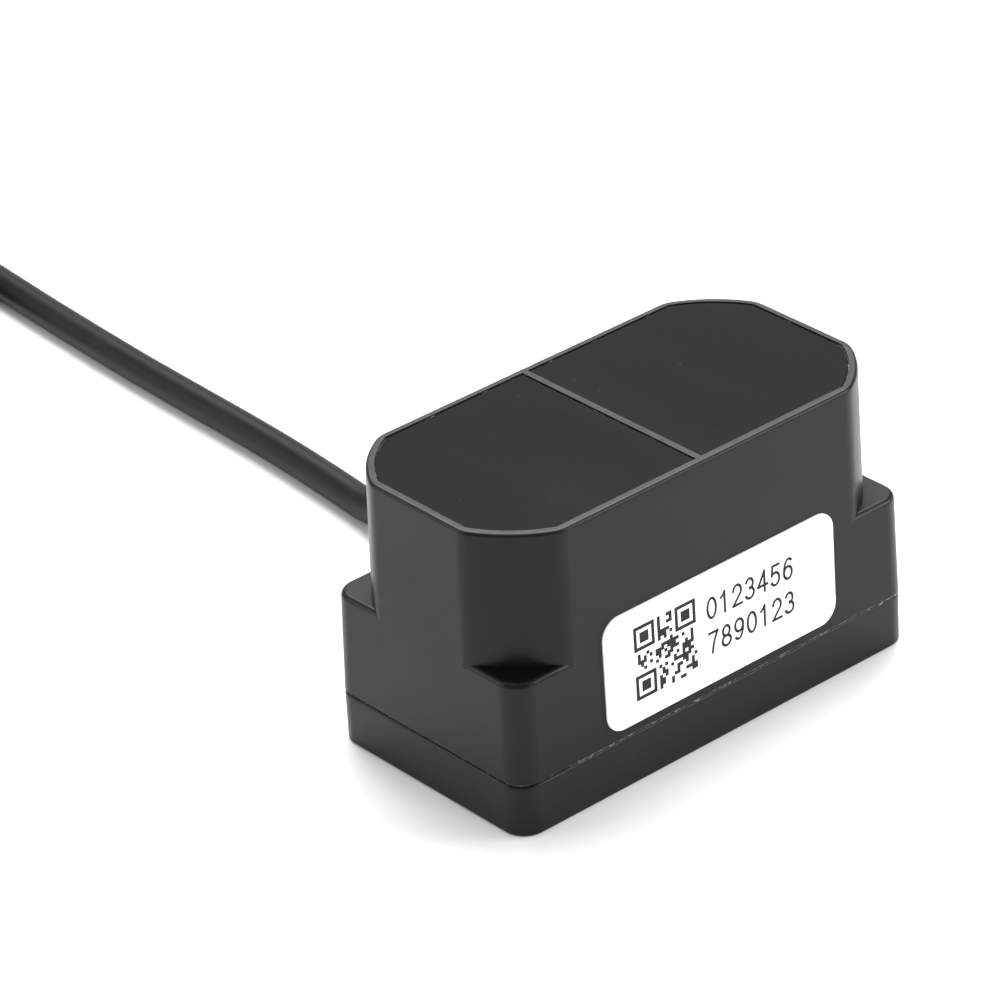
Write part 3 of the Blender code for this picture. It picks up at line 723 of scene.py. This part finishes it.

# cable tie: a band drawn round the coil, its square head and its cut tail
ta = math.radians(TIE_ANGLE)
UX, UY = math.cos(ta), math.sin(ta)
VX, VY = -UY, UX


def across(r, w, z):
    return (COIL_X + r * UX + w * VX, COIL_Y + r * UY + w * VY, z)


def band_section(grow):
    """The band's path round three strands: two on the floor and one in the groove above."""
    points = []
    centres = ((COIL_R1, 1.70, -90, 20), ((COIL_R1 + COIL_R2) / 2, 3.82, 20, 160), (COIL_R2, 1.70, 160, 270))
    for cx, cz, a0, a1 in centres:
        for k in range(13):
            a = math.radians(a0 + (a1 - a0) * k / 12)
            points.append((cx + (1.22 + grow) * math.cos(a), cz + (1.22 + grow) * math.sin(a)))
    return points


bm = bmesh.new()
inner_path, outer_path = band_section(0.0), band_section(0.42)
rings = []
for w, bulge in ((-0.95, -0.10), (-0.80, 0.0), (0.80, 0.0), (0.95, -0.10)):
    rings.append([across(r, w, z) for r, z in band_section(0.42 + bulge)])
for w in (0.95, -0.95):
    rings.append([across(r, w, z) for r, z in inner_path])
loft(bm, rings, closed=True)
band = piece("tie_band", bm, NYLON, 40)
bm = bmesh.new()
for k in range(3):
    pass
loft(bm, [[across(r, w, z) for r, z in rounded_rect(0.62, 0.9, 0.18, 4, 15.05, 2.35)] for w in (-1.35, -1.25, 1.25, 1.35)])
head = piece("tie_head", bm, NYLON, 40)
bm = bmesh.new()
loft(bm, [[across(15.05 + r, w, z) for r, w in rounded_rect(0.22, 0.8, 0.08, 3)] for z in (3.2, 4.6, 4.7)])
tail = piece("tie_tail", bm, NYLON, 40)
for made in (band, head, tail):
    cord_pieces.append(made)
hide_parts("cable_tie")

# strain relief: flange, stepped boot with grooves, and a mouth that the jacket goes into
bm = bmesh.new()
profile = [(1.42, 9.30), (2.42, 9.30), (2.56, 9.40), (2.60, 9.55), (2.60, 9.95), (2.54, 10.10), (2.40, 10.18), (2.16, 10.24)]
y = 10.32
radius = 2.10
for k in range(4):
    profile += [(radius, y), (radius, y + 0.42), (radius - 0.05, y + 0.50), (radius - 0.26, y + 0.54), (radius - 0.28, y + 0.70), (radius - 0.10, y + 0.76)]
    y += 0.80
    radius -= 0.085
profile += [(1.66, 13.48), (1.60, 13.58), (1.44, 13.62), (1.28, 13.56), (1.24, 13.4), (1.24, 10.9)]
sides = 56
rings = [[(r * math.cos(2 * math.pi * i / sides), py, EXIT_Z + r * math.sin(2 * math.pi * i / sides)) for i in range(sides)] for r, py in profile]
loft(bm, rings, closed=False)
grommet = piece("strain_relief", bm, RUBBER, 35)
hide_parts("cable_grommet")
cord_pieces.append(grommet)

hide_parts("cable_lead", "cable_coil", "cable_tail")
for made in [cord, *cord_pieces]:
    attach(made, "root")


# ---------------------------------------------------------------------------------------------- front housing
KINK, RIM_ROUND, SHELF_ROUND, PROUD = 0.5, 0.26, 0.38, 0.004


def foot_ring(z, ease=0.0):
    inset = shrink(z) + ease
    return at(rounded_rect(HX - inset, HY - inset, BLOCK_CORNER - ease, 14), z)


def bend(a, b, c, n=6):
    """A short curve from a to c that is pulled towards b."""
    return [tuple((1 - t) ** 2 * a[m] + 2 * t * (1 - t) * b[m] + t * t * c[m] for m in (0, 1)) for t in [k / n for k in range(n + 1)]]


def tower_ring(z, ease=0.0, n=40):
    """The tower's outline at height z: four flats, four arcs, and a small fillet wherever they meet."""
    inset = shrink(z) + ease - PROUD
    hx, hy, r = HX - inset, HY - inset, ARC_R - inset
    low = math.atan2(math.sqrt(r * r - (hx - ARC_X) ** 2), hx - ARC_X)
    high = math.atan2(hy, math.sqrt(r * r - hy * hy))
    step = KINK / r

    def on_arc(a):
        return (ARC_X + r * math.cos(a), r * math.sin(a))

    corner = bend((hx, r * math.sin(low) - KINK), on_arc(low), on_arc(low + step))
    corner += [on_arc(low + step + (high - low - 2 * step) * k / n) for k in range(1, n)]
    corner += bend(on_arc(high - step), on_arc(high), (ARC_X + r * math.cos(high) - KINK, hy))
    points = []
    for sx, sy in ((1, 1), (-1, 1), (-1, -1), (1, -1)):
        part = [(sx * px, sy * py) for px, py in corner]
        points += part if sx * sy > 0 else list(reversed(part))
    return at(points, z)


def round_over(top, radius, steps=4):
    """(z, ease) pairs that round an edge over into the top face."""
    turns = [math.radians(90 * k / steps) for k in range(steps + 1)]
    return [(top - radius + radius * math.sin(a), radius * (1 - math.cos(a))) for a in turns]


bm = bmesh.new()
loft(bm, [foot_ring(HOUSING_FOOT), *[foot_ring(z, ease) for z, ease in round_over(SHELF, SHELF_ROUND)]])
housing = piece("housing_shell", bm, SHELL)
bm = bmesh.new()
loft(bm, [tower_ring(SHELF - 1.2), *[tower_ring(z, ease) for z, ease in round_over(HEIGHT, RIM_ROUND)]])
tower = piece("tower_shell", bm, SHELL)
join = housing.modifiers.new("join_tower", "BOOLEAN")
join.operation = "UNION"
join.solver = "EXACT"
join.object = tower
pockets = cutter("pocket_cutter", [(tower_half(POCKET, DIVIDER_X + side * DIVIDER / 2, side), WINDOW_FLOOR, HEIGHT + 1) for side in (-1, 1)])
paths = cutter("light_path_cutter", [(tower_half(WALL, DIVIDER_X + side * LEDGE_HALF, side), LEDGE_FOOT - 0.5, WINDOW_FLOOR + 0.3) for side in (-1, 1)])
inner = tower_half(WALL, 0.0, 1)[1:-1] + tower_half(WALL, 0.0, -1)[1:-1]
tower_room = cutter("tower_room_cutter", [(inner, CAVITY_TOP - 0.5, LEDGE_FOOT)])
block_room = cutter("block_room_cutter", [(bitten_rect(CAVITY_X, CAVITY_Y, BOSS_X, BOSS_Y, BOSS_R), HOUSING_FOOT - 1, CAVITY_TOP)])
joint = cutter("joint_cutter", [(rounded_rect(CAVITY_X + 0.75, CAVITY_Y + 0.75, 0.9), HOUSING_FOOT - 1, 4.98)])
posts = [(sx * BOSS_X, sy * BOSS_Y) for sx in (1, -1) for sy in (1, -1)]
post_holes = cutter("post_hole_cutter", [(circle(0.9, 28, x, y), HOUSING_FOOT - 1, 9.3) for x, y in posts])
bm = bmesh.new()
loft(bm, [[(1.75 * math.cos(2 * math.pi * i / 48), py, EXIT_Z + 1.75 * math.sin(2 * math.pi * i / 48)) for i in range(48)] for py in (HY + 1, CAVITY_Y - 1)])
cable_hole = piece("cable_hole_cutter", bm, None)
settle(housing, [pockets, paths, tower_room, block_room, joint, post_holes, cable_hole], [], 30)
bpy.data.objects.remove(tower, do_unlink=True)
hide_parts("front_housing")
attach(housing, "root")

# ---------------------------------------------------------------------------------------------- base cover
bm = bmesh.new()
cover_out = rounded_rect(HX, HY, COVER_CORNER, 14)
loft(bm, [at(cover_out, 0.0), at(cover_out, COVER_TOP)])
cover = piece("cover_shell", bm, COVER)
settle(cover, [], [(0.22, 4, 30)], 30)
cover.modifiers.clear()
tray = cutter("tray_cutter", [(bitten_rect(CAVITY_X, CAVITY_Y, BOSS_X, BOSS_Y, BOSS_R), 1.4, 5.0)])
paths = cutter("screw_path_cutter", [(circle(0.9, 28, x, y), 0.6, 5.0) for x, y in posts])
heads = cutter("screw_head_cutter", [(circle(1.75, 40, x, y), -1.0, 1.25) for x, y in posts])
settle(cover, [tray, paths, heads], [], 30)
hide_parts("base_cover")
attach(cover, "root")
tongue_out = rounded_rect(CAVITY_X + 0.6, CAVITY_Y + 0.6, 0.75, 8)
tongue_in = rounded_rect(CAVITY_X + 0.02, CAVITY_Y + 0.02, 0.17, 8)
bm = bmesh.new()
loft(bm, [at(tongue_out, 3.75), at(tongue_out, 4.34), at([(x * 0.995, y * 0.992) for x, y in tongue_out], 4.42), at(tongue_in, 4.42), at(tongue_in, 3.75)], closed=True)
tongue = piece("cover_tongue", bm, COVER)
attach(tongue, "root")


# ---------------------------------------------------------------------------------------------- windows
def pane(name, side):
    edge = DIVIDER_X + side * (DIVIDER / 2 + 0.07)
    bm = bmesh.new()
    outline = tower_half(POCKET + 0.07, edge, side)
    loft(bm, [at(outline, 19.78), at(outline, 20.94)])
    made = piece(name, bm, WINDOW)
    settle(made, [], [(0.05, 3, 20)], 30)
    return made


for label, side in (("emitter", -1), ("receiver", 1)):
    made = pane(f"{label}_pane", side)
    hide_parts(f"{label}_window")
    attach(made, "root")


# ---------------------------------------------------------------------------------------------- glue along the windows and the seam
def outline_walk(points, step):
    """Evenly spaced (point, inward normal) pairs along a closed loop of 2-D points."""
    walked = []
    carry = 0.0
    count = len(points)
    for i in range(count):
        a, b = Vector(points[i]), Vector(points[(i + 1) % count])
        length = (b - a).length
        if length < 1e-9:
            continue
        along = (b - a) / length
        normal = Vector((-along.y, along.x))
        while carry < length:
            walked.append((a + along * carry, normal))
            carry += step
        carry -= length
    return walked


def bead(name, loop, z, base, amount, seed, mat, squeeze=1.0, threshold=0.1, where=None):
    """An uneven bead of glue that follows a loop. It swells where the noise is high and dies away elsewhere."""
    bm = bmesh.new()
    rings = []
    for point, normal in outline_walk(loop, 0.09):
        n1 = noise.noise(Vector((point.x * 1.1 + seed, point.y * 1.1, seed * 0.37)))
        n2 = noise.noise(Vector((point.x * 4.6, point.y * 4.6 + seed, 3.1)))
        swell = max(0.0, n1 * 0.9 + n2 * 0.75 - threshold)
        here = where(point) if where else 1.0
        r = base * (0.6 + 0.4 * here) + amount * here * min(1.0, swell * 2.2)
        shift = 0.45 * amount * n2
        ring = []
        for k in range(8):
            a = 2 * math.pi * k / 8
            ring.append((point.x + normal.x * (r * math.cos(a) + shift), point.y + normal.y * (r * math.cos(a) + shift), z + squeeze * r * math.sin(a)))
        rings.append(ring)
    loft(bm, rings, closed=True)
    return piece(name, bm, mat, 60)


for label, side, seed in (("emitter", -1, 3.7), ("receiver", 1, 9.1)):
    loop = tower_half(POCKET + 0.035, DIVIDER_X + side * (DIVIDER / 2 + 0.035), side)
    made = bead(f"{label}_window_glue", loop, 20.86, 0.022, 0.05, seed, GLUE, 1.0, 0.30)
    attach(made, "root")

seam_loop = rounded_rect(HX - 0.14, HY - 0.14, BLOCK_CORNER - 0.14, 14)


def glued(point):
    """The glue has squeezed out along the labelled side and the end nearest to it, and stayed inside elsewhere."""
    along_front = ease((point.x + HX - 3.6) / 1.5) if point.y < -HY + 0.6 else 0.0
    along_end = ease((HY - 2.0 - point.y) / 3.0) if point.x > HX - 2.2 else 0.0
    return max(along_front, along_end)


made = bead("seam_glue", seam_loop, (COVER_TOP + HOUSING_FOOT) / 2, 0.080, 0.13, 21.3, SEAM_GLUE, 1.0, 0.06, glued)
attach(made, "root")

# ---------------------------------------------------------------------------------------------- label and its print
LABEL_PROUD = 0.13


def label_y(z, proud=LABEL_PROUD):
    """The label lies on the drafted wall."""
    return shrink(z) - HY - proud


bm = bmesh.new()
rings = []
for proud, inset in ((0.004, 0.0), (LABEL_PROUD - 0.012, 0.0), (LABEL_PROUD, 0.012)):
    rings.append([(x, label_y(z, proud), z) for x, z in rounded_rect(10.26 - inset, 4.20 - inset, 1.4 - inset, 16, 0.30, 8.83)])
loft(bm, rings)
sticker = piece("sticker", bm, LABEL, 40)
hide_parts("product_label")
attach(sticker, "root")

INK_PROUD = LABEL_PROUD + 0.004


def ink_block(bm, x0, z0, x1, z1):
    loft(bm, [[(x, label_y(z, proud), z) for x, z in rect(x0, z0, x1, z1)] for proud in (LABEL_PROUD - 0.002, INK_PROUD)])


# A made-up square of cells with three corner frames. It stands for a coded square and encodes nothing.
CELLS = 21
CODE_X, CODE_Z, CODE_SIZE = -7.38, 6.17, 5.42
pitch = CODE_SIZE / CELLS
grid = [[False] * CELLS for _ in range(CELLS)]
pattern_rng = random.Random(8125)
for row in range(CELLS):
    for column in range(CELLS):
        grid[row][column] = pattern_rng.random() < 0.48


def frame_square(row0, col0):
    for r in range(-1, 8):
        for c in range(-1, 8):
            row, col = row0 + r, col0 + c
            if 0 <= row < CELLS and 0 <= col < CELLS:
                edge = r in (0, 6) and 0 <= c <= 6 or c in (0, 6) and 0 <= r <= 6
                core = 2 <= r <= 4 and 2 <= c <= 4
                grid[row][col] = edge or core


frame_square(0, 0)
frame_square(0, CELLS - 7)
frame_square(CELLS - 7, 0)
bm = bmesh.new()
for row in range(CELLS):
    column = 0
    while column < CELLS:
        if not grid[row][column]:
            column += 1
            continue
        run = column
        while run < CELLS and grid[row][run]:
            run += 1
        x0, x1 = CODE_X + column * pitch, CODE_X + run * pitch
        z1 = CODE_Z + CODE_SIZE - row * pitch
        ink_block(bm, x0 - 0.004, z1 - pitch - 0.004, x1 + 0.004, z1 + 0.004)
        column = run
code = piece("code_square", bm, INK, 30, merge=0)
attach(code, "root")


# Thin printed digits, drawn as strokes. They only count up and name nothing.
def arc(cx, cz, rx, rz, a0, a1, n=14):
    return [(cx + rx * math.cos(math.radians(a0 + (a1 - a0) * k / n)), cz + rz * math.sin(math.radians(a0 + (a1 - a0) * k / n))) for k in range(n + 1)]


GLYPHS = {
    "0": [arc(0.5, 0.5, 0.36, 0.5, 90, 450, 32)],
    "1": [[(0.22, 0.78), (0.38, 0.86), (0.52, 1.0)], [(0.52, 1.0), (0.52, 0.0)]],
    "2": [arc(0.5, 0.70, 0.34, 0.30, 170, -28) + [(0.46, 0.27), (0.14, 0.0)], [(0.14, 0.0), (0.86, 0.0)]],
    "3": [arc(0.47, 0.745, 0.30, 0.255, 155, -82), arc(0.47, 0.27, 0.36, 0.27, 84, -155)],
    "4": [[(0.66, 0.0), (0.66, 1.0)], [(0.66, 1.0), (0.10, 0.30)], [(0.10, 0.30), (0.90, 0.30)]],
    "5": [[(0.82, 1.0), (0.28, 1.0)], [(0.28, 1.0), (0.20, 0.53)], arc(0.48, 0.32, 0.36, 0.32, 128, -150)],
    "6": [arc(0.50, 0.31, 0.34, 0.31, 90, 450, 28), [(0.16, 0.33), (0.19, 0.60), (0.30, 0.84), (0.46, 0.97), (0.62, 1.0), (0.80, 0.90)]],
    "7": [[(0.14, 1.0), (0.86, 1.0)], [(0.86, 1.0), (0.60, 0.62), (0.46, 0.30), (0.38, 0.0)]],
    "8": [arc(0.5, 0.745, 0.29, 0.255, 90, 450, 26), arc(0.5, 0.25, 0.36, 0.25, 90, 450, 28)],
    "9": [arc(0.50, 0.69, 0.34, 0.31, 90, 450, 28), [(0.84, 0.67), (0.81, 0.40), (0.70, 0.16), (0.54, 0.03), (0.38, 0.0), (0.20, 0.10)]],
}


def stroke(bm, points, width):
    """A flat ribbon of the given width along a path, with square ends, a hair proud of the label."""
    left, right = [], []
    loop = math.dist(points[0], points[-1]) < 1e-6
    for i, point in enumerate(points):
        if loop:
            a, b = points[(i - 1) % (len(points) - 1)], points[(i + 1) % (len(points) - 1)]
        else:
            a, b = points[max(i - 1, 0)], points[min(i + 1, len(points) - 1)]
        tangent = Vector((b[0] - a[0], b[1] - a[1])).normalized()
        offset = Vector((-tangent.y, tangent.x)) * width / 2
        extend = Vector((0, 0))
        if not loop and i == 0:
            extend = -tangent * width / 2
        if not loop and i == len(points) - 1:
            extend = tangent * width / 2
        left.append(Vector(point) + offset + extend)
        right.append(Vector(point) - offset + extend)
    for i in range(len(points) - 1):
        quad = [left[i], left[i + 1], right[i + 1], right[i]]
        front = [bm.verts.new((p.x, label_y(p.y, INK_PROUD), p.y)) for p in quad]
        bm.faces.new(front)


def line_of_digits(bm, text, x0, z0, width, height, advance, weight):
    for index, letter in enumerate(text):
        for path in GLYPHS[letter]:
            stroke(bm, [(x0 + index * advance + px * width, z0 + pz * height) for px, pz in path], weight)


bm = bmesh.new()
line_of_digits(bm, "0123456", -1.05, 9.48, 1.03, 1.47, 1.145, 0.205)
line_of_digits(bm, "7890123", -1.01, 6.91, 1.03, 1.47, 1.145, 0.205)
bmesh.ops.remove_doubles(bm, verts=bm.verts, dist=1e-6)
for face in bm.faces:
    face.normal_update()
    if face.normal.y > 0:
        face.normal_flip()
bmesh.ops.scale(bm, vec=Vector((MM, MM, MM)), verts=bm.verts)
mesh = bpy.data.meshes.new("printed_digits")
bm.to_mesh(mesh)
bm.free()
mesh.materials.append(INK)
digits = bpy.data.objects.new("printed_digits", mesh)
scene.collection.objects.link(digits)
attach(digits, "root")

# ---------------------------------------------------------------------------------------------- materials of the CAD nodes that stay
KEPT = {
    STEEL: ["cover_screw_1", "cover_screw_2", "cover_screw_3", "cover_screw_4", "board_screw_1", "board_screw_2", "board_screw_3", "board_screw_4"],
    RUBBER: ["seam_gasket"],
    FOAM: ["emitter_light_seal", "receiver_light_seal"],
    TAPE: ["emitter_window_tape", "receiver_window_tape"],
    BARREL: ["optics_block", "emitter_lens_ring", "receiver_lens_ring"],
    LENS: ["emitter_lens", "receiver_lens"],
    FILTER: ["bandpass_filter"],
    BOARD: ["emitter_board", "receiver_board", "main_board"],
    CHIP: ["receiver_sensor", "processor_chip", "driver_chip", "emitter_header", "receiver_header"],
    FERRITE: ["power_inductor"],
    CERAMIC: ["capacitor_1", "capacitor_2"],
    NICKEL: ["receiver_shield", "crystal"],
    LED: ["emitter_led"],
    PAD: ["thermal_pad"],
    NYLON: ["cable_socket", "inner_plug"],
    CORES["red"]: ["inner_core_red"],
    CORES["black"]: ["inner_core_black"],
    CORES["white"]: ["inner_core_white"],
    CORES["green"]: ["inner_core_green"],
}
for mat, names in KEPT.items():
    for name in names:
        nodes[name].data.materials.clear()
        nodes[name].data.materials.append(mat)

# ---------------------------------------------------------------------------------------------- floor and light
bm = bmesh.new()
bmesh.ops.create_grid(bm, x_segments=2, y_segments=2, size=3000.0)
floor = piece("floor", bm, floor_material())
floor.location.z = -0.00001

world = bpy.data.worlds.new("studio")
scene.world = world
world.use_nodes = True
tree = world.node_tree
background = tree.nodes["Background"]
coord = tree.nodes.new("ShaderNodeTexCoord")
unit = tree.nodes.new("ShaderNodeVectorMath")
unit.operation = "NORMALIZE"
tree.links.new(coord.outputs["Generated"], unit.inputs[0])


def heading(azimuth, elevation):
    a, e = math.radians(azimuth), math.radians(elevation)
    return Vector((math.cos(e) * math.cos(a), math.cos(e) * math.sin(a), math.sin(e)))


def glow(direction, power, strength):
    """A soft patch of light on the studio's walls, brightest towards the given direction."""
    made = []
    for kind, node_type in (("DOT_PRODUCT", "ShaderNodeVectorMath"), ("MAXIMUM", "ShaderNodeMath"), ("POWER", "ShaderNodeMath"), ("MULTIPLY", "ShaderNodeMath")):
        node = tree.nodes.new(node_type)
        node.operation = kind
        made.append(node)
    dot, floor_at, raised, scaled = made
    tree.links.new(unit.outputs["Vector"], dot.inputs[0])
    dot.inputs[1].default_value = direction
    tree.links.new(dot.outputs["Value"], floor_at.inputs[0])
    floor_at.inputs[1].default_value = 0.0
    tree.links.new(floor_at.outputs["Value"], raised.inputs[0])
    raised.inputs[1].default_value = power
    tree.links.new(raised.outputs["Value"], scaled.inputs[0])
    scaled.inputs[1].default_value = strength
    return scaled.outputs["Value"]


total = None
for direction, power, strength in (
    (heading(0, 90), 6.0, 0.30),
    (heading(50, 28), 5.0, 0.43),
    (heading(140, 28), 5.0, 0.26),
    (heading(230, 28), 5.0, 0.25),
):
    patch = glow(direction, power, strength)
    if total is None:
        total = patch
        continue
    add = tree.nodes.new("ShaderNodeMath")
    add.operation = "ADD"
    tree.links.new(total, add.inputs[0])
    tree.links.new(patch, add.inputs[1])
    total = add.outputs["Value"]
base_level = tree.nodes.new("ShaderNodeMath")
base_level.operation = "ADD"
base_level.inputs[1].default_value = 0.15
tree.links.new(total, base_level.inputs[0])
tree.links.new(base_level.outputs["Value"], background.inputs["Strength"])
background.inputs["Color"].default_value = (1.0, 1.0, 1.0, 1.0)


def softbox(name, azimuth, elevation, distance, size, watts, in_gloss=True):
    data = bpy.data.lights.new(name, "AREA")
    data.shape = "SQUARE"
    data.size = size
    data.energy = watts
    made = bpy.data.objects.new(name, data)
    scene.collection.objects.link(made)
    made.location = heading(azimuth, elevation) * distance
    made.rotation_euler = (Vector((0, 0, 0.01)) - made.location).to_track_quat("-Z", "Y").to_euler()
    made.visible_camera = False
    made.visible_glossy = in_gloss
    return made


softbox("key_box", 50, 60, 1.0, 0.80, 5.2)
softbox("near_box", 50, 62, 0.35, 0.28, 1.35)
softbox("left_box", 140, 25, 1.0, 0.5, 2.7)
softbox("right_box", 320, 25, 1.0, 0.5, 7.0)
softbox("label_fill", 275, 25, 1.0, 0.4, 3.0, False)
softbox("front_fill", 230, 35, 1.0, 0.6, 1.9, False)
